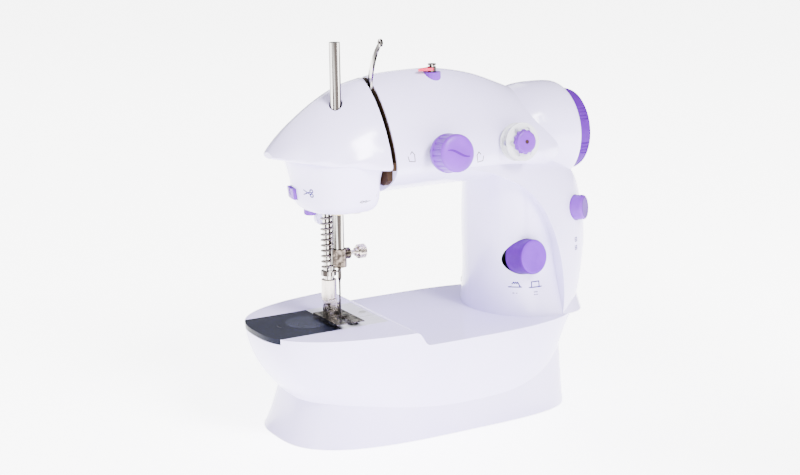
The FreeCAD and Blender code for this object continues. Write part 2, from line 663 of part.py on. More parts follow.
head_frame = solid_box((-55, 11.0, 123.0), (-41, 14.0, 164.6))
for spot, low in ((NEEDLE, 160.6), (PRESSER, 150.4)):
    arm = solid_box((spot[0] - 5.4, spot[1], low), (spot[0] + 5.4, 12.0, low + 4))
    arm = arm.fuse(rod(5.4, 4, (*spot, low)))
    head_frame = head_frame.fuse(arm)
for spot, low in ((NEEDLE, 160.6), (PRESSER, 150.4)):
    head_frame = head_frame.cut(rod(4.4, 20, (*spot, low - 1)))
head_frame = head_frame.cut(rod(size("presser_bar_dia") / 2 + 0.4, 80, (*PRESSER, 110)))
node(feature("head_frame", head_frame))

# ------------------------------------------------------------------- the drive

shaft_radius = "shaft_dia / 2"
DISC_X = -34.5
node(cylinder("main_shaft", shaft_radius, "131.0", (DISC_X + 3.0, 0, SHAFT), X_AXIS))
disc = cylinder("disc_face", "14.0", "3.0", (DISC_X, 0, SHAFT), X_AXIS)
disc_pin = cylinder("disc_pin", "1.6", "1.6", (DISC_X - 1.6, 0, SHAFT + crank_throw), X_AXIS)
node(fused("crank_disc", [disc, disc_pin]))

DRIVE_X, TIMING_X = 56.0, 47.0
DRIVE_RADIUS, MOTOR_RADIUS, TIMING_RADIUS = 15.0, 4.0, 9.0
belt_width, belt_thick = 4.6, 1.5


def pulley(name, radius, x, level, y=0.0, bore="1.0"):
    rim = cylinder(name + "_rim", str(radius), str(belt_width + 0.4), (x, y, level), X_AXIS)
    flanges = [cylinder(f"{name}_flange_{i}", str(radius + 1.1), "0.8", (start, y, level), X_AXIS)
               for i, start in enumerate((x - 0.8, x + belt_width + 0.4))]
    way = cylinder(name + "_way", bore, "12", (x - 3, y, level), X_AXIS)
    return cut(name, fused(name + "_solid", [rim] + flanges), [way])


node(group("shaft_pulleys", [pulley("drive_pulley", DRIVE_RADIUS, DRIVE_X, SHAFT, bore=shaft_radius),
                             pulley("timing_pulley", TIMING_RADIUS, TIMING_X, SHAFT, bore=shaft_radius)]))


def belt(x, first, second):
    """A flat belt round two pulleys, each given as (y, level, radius)."""
    (y0, z0, r0), (y1, z1, r1) = first, second
    away = math.hypot(y1 - y0, z1 - z0)
    heading = math.atan2(z1 - z0, y1 - y0)
    spread = math.acos((r0 - r1) / away)

    def filled(grow, start, width):
        corners = []
        for y, z, radius, sides in ((y0, z0, r0 + grow, (1, -1)), (y1, z1, r1 + grow, (-1, 1))):
            for side in sides:
                angle = heading + side * spread
                corners.append(V(start, y + radius * math.cos(angle), z + radius * math.sin(angle)))
        web = Part.Face(Part.makePolygon(corners + corners[:1])).extrude(V(width, 0, 0))
        ends = [rod(radius + grow, width, (start, y, z), X_AXIS) for y, z, radius in (first, second)]
        return web.fuse(ends)

    return filled(belt_thick, x, belt_width).cut(filled(size("fit"), x - 1, belt_width + 2))


MOTOR = size("motor_level")
LOWER = size("lower_shaft_level")
LOWER_Y = size("lower_shaft_y")
node(feature("drive_belt", belt(DRIVE_X + 0.2, (0, SHAFT, DRIVE_RADIUS), (0, MOTOR, MOTOR_RADIUS))))
node(feature("timing_belt", belt(TIMING_X + 0.2, (0, SHAFT, TIMING_RADIUS), (LOWER_Y, LOWER, TIMING_RADIUS))))

PLATE_X = 64.0
motor_can = cylinder("motor_can", "12.0", "27.0", (PLATE_X + 4.0, 0, MOTOR), X_AXIS)
motor_nose = cylinder("motor_nose", "3.9", "2.0", (PLATE_X + 2.0, 0, MOTOR), X_AXIS)
motor_bore = cylinder("motor_bore", "1.0 + fit", "10.0", (PLATE_X + 2.0, 0, MOTOR), X_AXIS)
node(cut("motor", fused("motor_parts", [motor_can, motor_nose]), [motor_bore]))
node(fused("motor_rotor", [cylinder("rotor_spindle", "1.0", "16.0", (DRIVE_X - 1.5, 0, MOTOR), X_AXIS),
                           cylinder("rotor_pulley", str(MOTOR_RADIUS), "5.0", (DRIVE_X, 0, MOTOR), X_AXIS)]))

wheel_x = size("wheel_x")
wheel = rod(size("wheel_dia") / 2, size("wheel_width"), (wheel_x, 0, SHAFT), X_AXIS)
rims = [edge for edge in wheel.Edges if edge.Curve.TypeId == "Part::GeomCircle"]
wheel = wheel.makeFillet(1.6, rims).cut(rod(size("shaft_dia") / 2, 7.0, (wheel_x - 1, 0, SHAFT), X_AXIS))
hollow = rod(17.0, 5.0, (wheel_x - 0.5, 0, SHAFT), X_AXIS)
wheel = wheel.cut(hollow.cut(rod(5.0, 6, (wheel_x - 1, 0, SHAFT), X_AXIS)))
node(feature("handwheel", wheel))

HOOK_X = size("hook_x")
GEAR_LARGE, GEAR_SMALL = 24, 12
GEAR_REACH = LOWER_Y * GEAR_LARGE / (GEAR_LARGE + GEAR_SMALL)


def gear(teeth, radius, width, base, axis):
    """A toothed wheel whose tips stay just inside its pitch circle."""
    wheel_form = rod(radius - 0.25, width, (0, 0, 0))
    notch = rod(radius * math.pi / teeth / 2.4, width + 2, (radius, 0, -1))
    for index in range(teeth):
        wheel_form = wheel_form.cut(notch.rotated(V(0, 0, 0), Z_AXIS, 360.0 * index / teeth))
    return feature_shape(wheel_form, base, axis)


def feature_shape(shape, base, axis):
    placed = shape.copy()
    placed.Placement = Placement(V(*base), Rotation(Z_AXIS, axis))
    return placed


lower_rod = cylinder("lower_rod", "lower_shaft_dia / 2", "137.0", (HOOK_X - 4.0, LOWER_Y, LOWER), X_AXIS)
lower_wheel = pulley("lower_pulley", TIMING_RADIUS, TIMING_X, LOWER, LOWER_Y, bore="lower_shaft_dia / 2")
lower_cam = cylinder("feed_cam", "4.5", "3.0", (-36.0, LOWER_Y + 1.2, LOWER), X_AXIS)
node(fused("lower_shaft", [lower_rod, lower_wheel, lower_cam]))
driving = gear(GEAR_LARGE, GEAR_REACH, 6.0, (HOOK_X - 3.0, LOWER_Y, LOWER), X_AXIS)
driving = driving.cut(rod(size("lower_shaft_dia") / 2, 10, (HOOK_X - 5, LOWER_Y, LOWER), X_AXIS))
node(feature("hook_drive_gear", driving))

hook = rod(15.5, 15, (HOOK_X, 0, 38)).cut(rod(13.6, 14, (HOOK_X, 0, 40)))
hook = hook.fuse(rod(2.0, 23, (HOOK_X, 0, 16)))
hook = hook.cut(solid_box((HOOK_X + 6, -20, 45), (HOOK_X + 13, -8, 49)).fuse(
    solid_box((HOOK_X - 18, 2, 49), (HOOK_X - 4, 18, 60))))
hook = hook.fuse(gear(GEAR_SMALL, LOWER_Y - GEAR_REACH, 6.4, (HOOK_X, 0, LOWER - 3.2), Z_AXIS))
node(feature("hook", hook))

case = rod(12.9, 13.7, (HOOK_X, 0, 40.6)).cut(rod(11.2, 14, (HOOK_X, 0, 42.0)))
case = case.fuse(rod(2.4, 10.5, (HOOK_X, 0, 41.5)))
case = case.cut(solid_box((HOOK_X + 4, -16, 48), (HOOK_X + 7, -9, 60)))
node(feature("bobbin_case", case))

BOBBIN_LEVEL = 42.4


def reel(radius, width, bore, core, flange):
    """A thread bobbin lying on the origin, with a ring of holes in its flanges."""
    form = rod(radius, flange, (0, 0, 0)).fuse([rod(radius, flange, (0, 0, width - flange)),
                                                rod(core, width, (0, 0, 0))])
    for index in range(6):
        spot = V(core + (radius - core) * 0.5, 0, -1)
        form = form.cut(rod(1.3, width + 2, spot).rotated(V(0, 0, 0), Z_AXIS, 60 * index))
    return form.cut(rod(bore, width + 2, (0, 0, -1)))


bobbin_radius = size("bobbin_dia") / 2
bobbin = reel(bobbin_radius, size("bobbin_width"), 2.4 + size("fit"), 3.6, 0.9)
node(feature("bobbin", bobbin, Placement(V(HOOK_X, 0, BOBBIN_LEVEL), Rotation())))

carrier = solid_box((-52.4, -16.0, 55.2), (-33.0, 1.0, 56.8)).cut(rod(2.6, 6, (*NEEDLE, 53)))
FEED_ROWS = ((-46.3, -44.9), (-43.1, -41.7))
for low, high in FEED_ROWS:
    row = solid_box((low, -15.0, 56.8), (high, -2.0, 59.4))
    for index in range(12):
        tooth_gap = Part.makeBox(4, 0.8, 0.8, V(low - 1, -14.6 + 1.05 * index, 59.4))
        row = row.cut(tooth_gap.rotated(tooth_gap.BoundBox.Center, X_AXIS, 45))
    carrier = carrier.fuse(row)
carrier = carrier.fuse(solid_box((-36.0, -6.0, 35.0), (-33.0, 0.0, 55.4)))
node(feature("feed_dog", carrier))

# --------------------------------------------------------------- inner frames

chassis = solid_box((-21, 20.0, 141.5), (68, 23.0, 149))
for start in (-21.0, PLATE_X):
    chassis = chassis.fuse(solid_box((start, -8.0, 139), (start + 4, 23.0, 156)))
chassis = chassis.fuse(solid_box((PLATE_X, -14.0, 12), (PLATE_X + 4, 18.0, 139)))
chassis = chassis.fuse(solid_box((PLATE_X - 8, -19.0, 2.0), (PLATE_X + 3.5, 19.0, 14)))
chassis = chassis.cut(rod(1.55, 8, (PLATE_X - 2, 0, 1)))
for x in (-21.0, PLATE_X):
    chassis = chassis.cut(rod(5.0, 8, (x - 2, 0, SHAFT), X_AXIS))
chassis = chassis.cut(rod(3.9, 8, (PLATE_X - 2, 0, MOTOR), X_AXIS))
chassis = chassis.cut(rod(3.5, 8, (PLATE_X - 2, LOWER_Y, LOWER), X_AXIS))
node(feature("chassis", chassis))

hook_frame = solid_box((-44, 2.0, 2.0), (-40, 18.0, 38.0)).fuse(solid_box((-67.2, -6, 17.5), (-40, 6, 21.5)))
hook_frame = hook_frame.fuse(solid_box((-44, -8, 2.0), (-40, 18.0, 21.5)))
hook_frame = hook_frame.cut(rod(3.5, 8, (-46, LOWER_Y, LOWER), X_AXIS)).cut(rod(3.5, 8, (HOOK_X, 0, 15)))
node(feature("hook_frame", hook_frame))
bushes = [tube("bush_left", "5.0", shaft_radius + " + fit", "5.0", (-21.5, 0, SHAFT), X_AXIS),
          tube("bush_right", "5.0", shaft_radius + " + fit", "5.0", (PLATE_X - 0.5, 0, SHAFT), X_AXIS),
          tube("bush_lower_left", "3.5", "lower_shaft_dia / 2 + fit", "5.0", (-44.5, LOWER_Y, LOWER), X_AXIS),
          tube("bush_lower_right", "3.5", "lower_shaft_dia / 2 + fit", "5.0",
               (PLATE_X - 0.5, LOWER_Y, LOWER), X_AXIS),
          tube("bush_hook", "3.5", "2.0 + fit", "5.0", (HOOK_X, 0, 17.0))]
node(group("shaft_bushes", bushes))

# --------------------------------------------------------- take-up and threading

LEVER = [((8.0, 158.0), 3.0), ((0.6, 167.0), 2.6), ((-5.6, 175.5), 2.1), ((-7.0, 183.0), 1.9),
         ((-9.4, 191.5), 1.7), ((-13.4, 199.4), 1.35), ((-18.0, 205.2), 1.0)]


def strip(knots, x, thick):
    """A flat tapering strip in the YZ plane along knots of ((y, z), half width)."""
    sides = {1: [], -1: []}
    for index, ((y, z), half) in enumerate(knots):
        before, after = knots[max(index - 1, 0)][0], knots[min(index + 1, len(knots) - 1)][0]
        run_y, run_z = after[0] - before[0], after[1] - before[1]
        length = math.hypot(run_y, run_z)
        for side in sides:
            sides[side].append(V(x, y - side * half * run_z / length, z + side * half * run_y / length))
    curves = []
    for points in (sides[1], sides[-1][::-1]):
        curve = Part.BSplineCurve()
        curve.interpolate(points)
        curves.append(curve.toShape())
    ends = [Part.makeLine(sides[1][-1], sides[-1][-1]), Part.makeLine(sides[-1][0], sides[1][0])]
    outline = Part.Wire([curves[0], ends[0], curves[1], ends[1]])
    return Part.Face(outline).extrude(V(thick, 0, 0))


lever_x = size("slot_plane") - 0.5
lever = strip(LEVER, lever_x, 1.0)
lever_ends = [rod(4.0, 1.0, (lever_x, PIVOT.y, PIVOT.z), X_AXIS)]
lever_ends.append(rod(2.1, 1.0, (lever_x, -19.0, 206.2), X_AXIS))
lever = lever.fuse(lever_ends)
lever = lever.cut(rod(1.5 + size("fit"), 4, (lever_x - 1, PIVOT.y, PIVOT.z), X_AXIS))
lever = lever.cut(rod(0.9, 4, (lever_x - 1, -19.2, 206.4), X_AXIS))
node(feature("take_up_lever", lever))

pin_top = cylinder("pin_stem", "2.25", "37.3", (*TOP_PIN, 154.0))
pin_groove = tube("pin_groove", "3.0", "1.5", "0.9", (*TOP_PIN, 189.7))
node(cut("top_spool_pin", pin_top, [pin_groove]))
node(tube("top_pin_collar", "4.6", "2.25 + fit", "6.0", (*TOP_PIN, 181.0)))
flag_base = V(*TOP_PIN, 188.0)
flag_corners = [flag_base + V(-9.2, -1.5, 0), flag_base + V(-0.8, -3.0, 0), flag_base + V(-0.8, 2.6, 0)]
flag = Part.Face(Part.makePolygon(flag_corners + flag_corners[:1])).extrude(V(0, 0, 1.4))
node(feature("top_pin_flag", flag.cut(rod(2.25, 5, flag_base - V(0, 0, 1)))))

# ----------------------------------------------------------- front face fittings


def along(seat, axis, distance):
    spot = seat + axis * distance
    return (spot.x, spot.y, spot.z)


posts = [cylinder("tension_post", "1.5", "20.0", along(KNOB_SEAT, FACE, -6.0), FACE),
         fused("spool_post", [cylinder("spool_post_core", "1.5", "17.0", along(SPOOL_SEAT, FACE, -6.0), FACE),
                              cylinder("spool_post_hub", "2.9", "7.2", along(SPOOL_SEAT, FACE, 0.8), FACE)])]
node(group("front_posts", posts))
discs = [tube(f"tension_disc_{i}", "7.6", "1.5", "0.7", along(KNOB_SEAT, FACE, 0.5 + 1.1 * i), FACE)
         for i in range(2)]
tension_spring = tube("tension_spring", "4.2", "3.2", "2.0", along(KNOB_SEAT, FACE, 2.5), FACE)
node(group("tension_discs", discs + [tension_spring]))
knob = rod(size("knob_dia") / 2, 12.6, (0, 0, 0))
knob = knob.makeFillet(1.2, [edge for edge in knob.Edges if edge.Curve.TypeId == "Part::GeomCircle"])
knob = knob.cut(rod(1.5 + size("fit"), 9.4, (0, 0, -0.1)))
front_turn = Rotation(Z_AXIS, FACE)
node(feature("tension_knob", knob, Placement(V(*along(KNOB_SEAT, FACE, 4.8)), front_turn)))

spool = reel(bobbin_radius, 6.8, 2.9 + size("fit"), 4.0, 0.9)
node(feature("front_spool", spool, Placement(V(*along(SPOOL_SEAT, FACE, 1.0)), front_turn)))
cap = rod(6.5, 3.4, (0, 0, 0))
cap = cap.makeFillet(0.8, [edge for edge in cap.Edges if edge.Curve.TypeId == "Part::GeomCircle"])
cap = cap.cut(rod(1.5 + size("fit"), 5, (0, 0, -0.5)))
node(feature("spool_cap", cap, Placement(V(*along(SPOOL_SEAT, FACE, 8.5)), front_turn)))


def button(name, diameter, depth, seat, axis, proud):
    form = rod(diameter / 2, depth, (0, 0, 0))
    crown = [edge for edge in form.Edges if abs(edge.CenterOfMass.z - depth) < 0.01 and edge.Closed]
    form = form.makeFillet(min(1.5, diameter / 6), [e for e in crown if e.Curve.TypeId == "Part::GeomCircle"])
    place = Placement(V(*along(seat, axis, proud - depth)), Rotation(Z_AXIS, axis))
    return node(feature(name, form, place))


button("speed_button", size("speed_button_dia"), 13.0, SPEED_SEAT, SPEED_AXIS, 7.4)
button("power_button", size("power_button_dia"), 12.0, POWER_SEAT, POWER_AXIS, 6.2)
button("lamp_button", 6.8, 5.0, LAMP_SWITCH, V(0, 0, -1), 0.6)

board = plate("board_blank", "24", "40", "1.6", (54, -14.0, 84), [(-8, 15, 1.6), (8, -15, 1.6)],
              Rotation(X_AXIS, 90))
switch_parts = [board, box("speed_switch", (48, -19.4, 80), (58, -15.6, 92))]
node(group("switch_board", switch_parts))


def socket(name, spot, length, bore, pin):
    shell = rod(4.2, length, spot, Y_AXIS).cut(rod(bore, length, spot + V(0, 1.5, 0), Y_AXIS))
    if pin:
        shell = shell.fuse(rod(pin, length - 2.5, spot + V(0, 1.0, 0), Y_AXIS))
    return node(feature(name, shell))


socket("power_jack", POWER_JACK, 10.2, 2.8, 1.0)
socket("pedal_jack", PEDAL_JACK, 10.6, 1.8, 0.0)

# ------------------------------------------------------------ plates and screws

plate_start = size("cover_end")
plate_centre = ((plate_start + size("plate_end")) / 2, 0, BOW - 1.0)
blank_holes = [(NEEDLE[0] - plate_centre[0], NEEDLE[1], 1.0),
               (PLATE_SCREW[0] - plate_centre[0], PLATE_SCREW[1], 1.3)]
blank = plate("plate_blank", "plate_end - cover_end", "plate_half_width * 2", "1.0", plate_centre,
              blank_holes)
feed_slots = [box(f"feed_slot_{i}", (low - 0.5, -17.2, BOW - 2), (high + 0.5, 0.2, BOW + 1))
              for i, (low, high) in enumerate(FEED_ROWS)]
sink = cylinder("screw_sink", "2.1", "0.6", (*PLATE_SCREW, BOW - 0.6))
node(cut("needle_plate", blank, feed_slots + [sink]))
cover_zone = solid_box((-110, -plate_half + 0.1, cover_floor + 0.35),
                       (plate_start - 0.35, plate_half - 0.1, 80))
node(feature("bobbin_cover", bed_solid(0.0, 8.0, BOW).common(cover_zone)))

screws = []
for index, (x, y) in enumerate(screw_spots):
    head = cylinder(f"base_screw_head_{index}", "2.8", "1.0", (x, y, 0.1))
    stem = cylinder(f"base_screw_stem_{index}", "1.5", "5.5", (x, y, 1.1))
    screws.append(fused(f"base_screw_{index}", [head, stem]))
for index, spot in enumerate(BACK_SCREWS):
    head = cylinder(f"back_screw_head_{index}", "2.8", "1.2", (spot.x, spot.y, spot.z), Y_AXIS)
    stem = cylinder(f"back_screw_stem_{index}", "1.5", "8.0", (spot.x, spot.y - 8.0, spot.z), Y_AXIS)
    screws.append(fused(f"back_screw_{index}", [head, stem]))
screws.append(fused("plate_screw", [cylinder("plate_screw_head", "2.0", "0.5", (*PLATE_SCREW, BOW - 0.6)),
                                    cylinder("plate_screw_stem", "1.25", "4.0", (*PLATE_SCREW, BOW - 4.4))]))
node(group("screws", screws))

# ---------------------------------------------------------------- test and write

doc.recompute()
for item in doc.Objects:
    assert "Invalid" not in item.State and "Error" not in item.State, item.Name
for item in nodes:
    assert not item.Shape.isNull() and item.Shape.isValid(), item.Name
    assert item.Shape.Solids, item.Name + " holds no solid"
assert len(nodes) <= 60, len(nodes)
os.makedirs("parts", exist_ok=True)
for item in nodes:
    item.Shape.exportStep(f"parts/{item.Label}.step")
print(len(nodes), "nodes")
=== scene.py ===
import json
import math

import bpy
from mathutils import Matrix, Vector
from mathutils.bvhtree import BVHTree


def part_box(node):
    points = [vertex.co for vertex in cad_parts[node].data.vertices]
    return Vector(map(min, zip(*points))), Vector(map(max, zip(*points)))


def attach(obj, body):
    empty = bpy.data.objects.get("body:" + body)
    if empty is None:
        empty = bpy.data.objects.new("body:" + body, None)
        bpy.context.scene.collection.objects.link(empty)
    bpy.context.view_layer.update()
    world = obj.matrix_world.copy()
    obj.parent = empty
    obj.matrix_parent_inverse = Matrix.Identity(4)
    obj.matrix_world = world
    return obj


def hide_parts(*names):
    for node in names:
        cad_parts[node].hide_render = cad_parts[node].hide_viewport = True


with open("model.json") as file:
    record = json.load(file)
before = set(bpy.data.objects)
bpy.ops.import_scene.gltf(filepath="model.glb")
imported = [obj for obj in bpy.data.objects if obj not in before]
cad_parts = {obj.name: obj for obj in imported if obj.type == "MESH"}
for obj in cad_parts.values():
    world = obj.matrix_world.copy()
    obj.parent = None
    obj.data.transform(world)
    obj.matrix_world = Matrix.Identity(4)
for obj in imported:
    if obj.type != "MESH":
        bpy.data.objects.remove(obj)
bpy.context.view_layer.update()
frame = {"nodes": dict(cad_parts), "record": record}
nodes = frame["nodes"]
MM = 0.001

# Camera: a level one, seen from the front left and a little above.
LENS, SENSOR = 78.75, 36.0
SIDE_SHIFT = -0.125
CAMERA_PLACE = (-0.4524, -0.7999, 0.3191)
AZIMUTH, ELEVATION = 32.5, 13.6

# Light: name, place, size in metres, power in watts.  Every light looks at LIT_SPOT.
LIT_SPOT = (0, 0, 0.1)
LIGHTS = (("key_light", (0.3, -1.25, 1.15), (0.6, 0.6), 104.0),
          ("side_light", (-1.1, -0.3, 0.8), (0.7, 1.0), 14.0),
          ("back_light", (0.2, 1.2, 1.0), (1.2, 0.6), 9.0))
SKY_STRENGTH = 0.52
FLOOR_HALF, FLOOR_GLOW = 6.0, 6.0
# Dark cards that the bright metal mirrors: x, y, width in metres.
CARDS = ((-0.43, -0.08, 0.10), (-0.38, -0.42, 0.05), (0.17, -0.40, 0.09))
CARD_FOOT, CARD_TOP = 0.002, 0.55

# Places of the printed marks, and of the guide hole's painted shade, in mm, each dropped onto the casing
# along the mark's own direction.
LOW_SPEED_PLACE, HIGH_SPEED_PLACE = (48.6, -29.0, 70.3), (59.1, -32.8, 69.9)
BARS_BELOW = 4.9
POWER_PLACES = ((86.3, -32.1, 91.4), (86.1, -32.6, 86.9))
TENSION_PLACES = ((-16.9, -32.3, 148.4), (23.4, -33.5, 144.4))
SCISSORS_PLACE = (-65.4, -10.4, 131.1)
THREADING_PLACE = (-40.8, -25.2, 126.4)
GUIDE_HOLE_PLACE = (-32.9, -24.7, 128.8)
ARROW_FROM_WINDOW = -16.5
WINDOW_RADIUS = 11.6


# ------------------------------------------------------------------ camera, light, floor

def direction(azimuth, elevation):
    """The way the camera looks, from its compass angle and its height angle in degrees."""
    a, e = math.radians(azimuth), math.radians(elevation)
    return Vector((math.sin(a) * math.cos(e), math.cos(a) * math.cos(e), -math.sin(e)))


def add_camera():
    data = bpy.data.cameras.new("photo_camera")
    data.lens = LENS
    data.sensor_width = SENSOR
    data.shift_x = SIDE_SHIFT
    data.clip_start = 0.01
    camera = bpy.data.objects.new("photo_camera", data)
    camera.location = CAMERA_PLACE
    camera.rotation_euler = direction(AZIMUTH, ELEVATION).to_track_quat("-Z", "Y").to_euler()
    bpy.context.scene.collection.objects.link(camera)
    bpy.context.scene.camera = camera


def add_area(name, place, size, power):
    data = bpy.data.lights.new(name, "AREA")
    data.shape = "RECTANGLE"
    data.size, data.size_y = size
    data.energy = power
    light = bpy.data.objects.new(name, data)
    light.location = place
    light.rotation_euler = (Vector(LIT_SPOT) - Vector(place)).to_track_quat("-Z", "Y").to_euler()
    bpy.context.scene.collection.objects.link(light)


def plain_material(name, colour, roughness):
    material = bpy.data.materials.new(name)
    material.use_nodes = True
    shader = material.node_tree.nodes["Principled BSDF"]
    shader.inputs["Base Color"].default_value = (*colour, 1)
    shader.inputs["Roughness"].default_value = roughness
    return material, shader


def staged_sheet(name, corners, material):
    """One flat sheet that belongs to the stage and not to the machine."""
    mesh = bpy.data.meshes.new(name)
    mesh.from_pydata(corners, [], [(0, 1, 2, 3)])
    mesh.materials.append(material)
    sheet = bpy.data.objects.new(name, mesh)
    bpy.context.scene.collection.objects.link(sheet)


def add_world():
    world = bpy.data.worlds.new("studio")
    world.use_nodes = True
    sky = world.node_tree.nodes["Background"]
    sky.inputs["Color"].default_value = (1, 1, 1, 1)
    sky.inputs["Strength"].default_value = SKY_STRENGTH
    bpy.context.scene.world = world


def add_floor():
    material, shader = plain_material("pale_floor", (0.95, 0.95, 0.96), 0.6)
    shader.inputs["Emission Color"].default_value = (1, 1, 1, 1)
    shader.inputs["Emission Strength"].default_value = FLOOR_GLOW
    half = FLOOR_HALF
    staged_sheet("floor", [(-half, -half, 0), (half, -half, 0), (half, half, 0), (-half, half, 0)], material)


def add_cards():
    """Upright dark cards, each turned to face the machine."""
    material, _ = plain_material("dark_card", (0.01, 0.01, 0.012), 0.9)
    for index, (x, y, width) in enumerate(CARDS):
        side = Vector((-y, x, 0)).normalized() * width / 2
        low, high = Vector((x, y, CARD_FOOT)), Vector((x, y, CARD_TOP))
        staged_sheet(f"dark_card_{index}", [low - side, low + side, high + side, high - side], material)


def add_stage():
    add_world()
    for light in LIGHTS:
        add_area(*light)
    add_floor()
    add_cards()


# ------------------------------------------------------------------------- materials

def make_material(name, dark, light, rough, metallic=0.0, grain=(300.0, 3.0), bump=0.0, bump_scale=1500.0,
                  stretch=(1, 1, 1), edges=(0.3, 0.7), **sockets):
    """A plastic or metal whose colour, gloss and surface vary a little from place to place; on the chrome the
    colour instead paints dark and light streaks of reflection.
    """
    material = bpy.data.materials.new(name)
    material.use_nodes = True
    tree = material.node_tree
    shader = tree.nodes["Principled BSDF"]
    place = tree.nodes.new("ShaderNodeTexCoord")
    mapping = tree.nodes.new("ShaderNodeMapping")
    mapping.inputs["Scale"].default_value = stretch
    tree.links.new(place.outputs["Object"], mapping.inputs["Vector"])

    def noise(scale, detail):
        node = tree.nodes.new("ShaderNodeTexNoise")
        node.inputs["Scale"].default_value = scale
        node.inputs["Detail"].default_value = detail
        tree.links.new(mapping.outputs["Vector"], node.inputs["Vector"])
        return node.outputs["Fac"]

    field = noise(*grain)
    ramp = tree.nodes.new("ShaderNodeValToRGB")
    ramp.color_ramp.elements[0].position = edges[0]
    ramp.color_ramp.elements[1].position = edges[1]
    ramp.color_ramp.elements[0].color = (*dark, 1)
    ramp.color_ramp.elements[1].color = (*light, 1)
    tree.links.new(field, ramp.inputs["Fac"])
    tree.links.new(ramp.outputs["Color"], shader.inputs["Base Color"])
    spread = tree.nodes.new("ShaderNodeMapRange")
    spread.inputs["To Min"].default_value = rough[0]
    spread.inputs["To Max"].default_value = rough[1]
    tree.links.new(noise(grain[0] * 0.4, 2.0), spread.inputs["Value"])
    tree.links.new(spread.outputs["Result"], shader.inputs["Roughness"])
    shader.inputs["Metallic"].default_value = metallic
    if bump:
        relief = tree.nodes.new("ShaderNodeBump")
        relief.inputs["Strength"].default_value = bump
        relief.inputs["Distance"].default_value = 0.0002
        tree.links.new(noise(bump_scale, 2.0), relief.inputs["Height"])
        tree.links.new(relief.outputs["Normal"], shader.inputs["Normal"])
    for socket, value in sockets.items():
        shader.inputs[socket.replace("_", " ")].default_value = value
    return material


white_plastic = make_material("white_plastic", (0.68, 0.61, 0.97), (0.73, 0.66, 1.0), (0.16, 0.24),
                              grain=(24.0, 2.0), bump=0.02, bump_scale=700.0,
                              Coat_Weight=0.3, Coat_Roughness=0.08)
purple_plastic = make_material("purple_plastic", (0.130, 0.011, 0.36), (0.165, 0.015, 0.44), (0.34, 0.46),
                               grain=(120.0, 3.0), bump=0.08, bump_scale=2600.0, Specular_IOR_Level=0.25)
dark_plastic = make_material("dark_plastic", (0.020, 0.009, 0.004), (0.034, 0.016, 0.008), (0.5, 0.65),
                             grain=(200.0, 3.0), bump=0.1, Specular_IOR_Level=0.1)
smoky_plastic = make_material("smoky_plastic", (0.006, 0.007, 0.016), (0.010, 0.011, 0.022), (0.22, 0.30),
                              grain=(60.0, 2.0), bump=0.02, IOR=1.12)
pink_plastic = make_material("pink_plastic", (0.60, 0.008, 0.06), (0.72, 0.014, 0.10), (0.3, 0.4),
                             Specular_IOR_Level=0.25)
clear_plastic = make_material("clear_plastic", (0.80, 0.80, 0.84), (0.88, 0.88, 0.92), (0.12, 0.2),
                              grain=(90.0, 2.0), Transmission_Weight=0.35)
# The chrome's grain is stretched upright and its ramp runs from near black to light grey, so its colour
# paints vertical streaks: painted reflections.
chrome = make_material("chrome", (0.030, 0.025, 0.023), (0.62, 0.59, 0.56), (0.06, 0.14), metallic=1.0,
                       grain=(560.0, 1.0), stretch=(1, 1, 0.012), edges=(0.50, 0.60))
steel = make_material("brushed_steel", (0.55, 0.55, 0.56), (0.70, 0.70, 0.71), (0.22, 0.36), metallic=1.0,
                      grain=(900.0, 5.0), bump=0.12, stretch=(0.04, 1, 1))
wire_steel = make_material("wire_steel", (0.10, 0.09, 0.085), (0.34, 0.31, 0.28), (0.15, 0.28), metallic=1.0)
brass = make_material("brass", (0.62, 0.45, 0.16), (0.75, 0.57, 0.25), (0.2, 0.35), metallic=1.0)
cast_metal = make_material("cast_metal", (0.45, 0.46, 0.47), (0.56, 0.57, 0.58), (0.4, 0.55), metallic=1.0,
                           bump=0.3, bump_scale=900.0)
rubber = make_material("rubber", (0.014, 0.014, 0.015), (0.03, 0.03, 0.032), (0.7, 0.85), bump=0.3)
board_green = make_material("board_green", (0.004, 0.020, 0.010), (0.008, 0.032, 0.016), (0.5, 0.7))
lamp_lens = make_material("lamp_lens", (0.85, 0.83, 0.75), (0.93, 0.91, 0.84), (0.1, 0.2),
                          Transmission_Weight=0.4)

purple_bright = make_material("purple_button_face", (0.120, 0.010, 0.38), (0.150, 0.013, 0.45), (0.35, 0.45),
                              grain=(120.0, 3.0), bump=0.06, bump_scale=2400.0, Specular_IOR_Level=0.1)
# This darker purple is also painted shade, on the speed button's sides and in the knob's groove; the
# handwheel is made of it all over.
purple_deep = make_material("purple_button_dark", (0.070, 0.006, 0.21), (0.09, 0.008, 0.26), (0.35, 0.45),
                            grain=(120.0, 3.0), bump=0.06, bump_scale=2400.0, Specular_IOR_Level=0.04)
purple_print = make_material("purple_print", (0.012, 0.002, 0.13), (0.018, 0.003, 0.17), (0.6, 0.7),
                             Specular_IOR_Level=0.1)
grey_print = make_material("grey_print", (0.030, 0.030, 0.036), (0.050, 0.050, 0.058), (0.6, 0.7),
                           Specular_IOR_Level=0.1)
smoky_light = make_material("smoky_window", (0.018, 0.020, 0.034), (0.026, 0.028, 0.046), (0.22, 0.30),
                            grain=(60.0, 2.0), IOR=1.12)
warm_chrome = make_material("warm_chrome", (0.52, 0.46, 0.42), (0.68, 0.61, 0.56), (0.14, 0.26), metallic=1.0,
                            grain=(900.0, 4.0), bump=0.05)
pale_plate = make_material("pale_plate", (0.62, 0.62, 0.68), (0.70, 0.70, 0.76), (0.25, 0.34), metallic=0.35,
                           grain=(500.0, 4.0), stretch=(0.05, 1, 1))
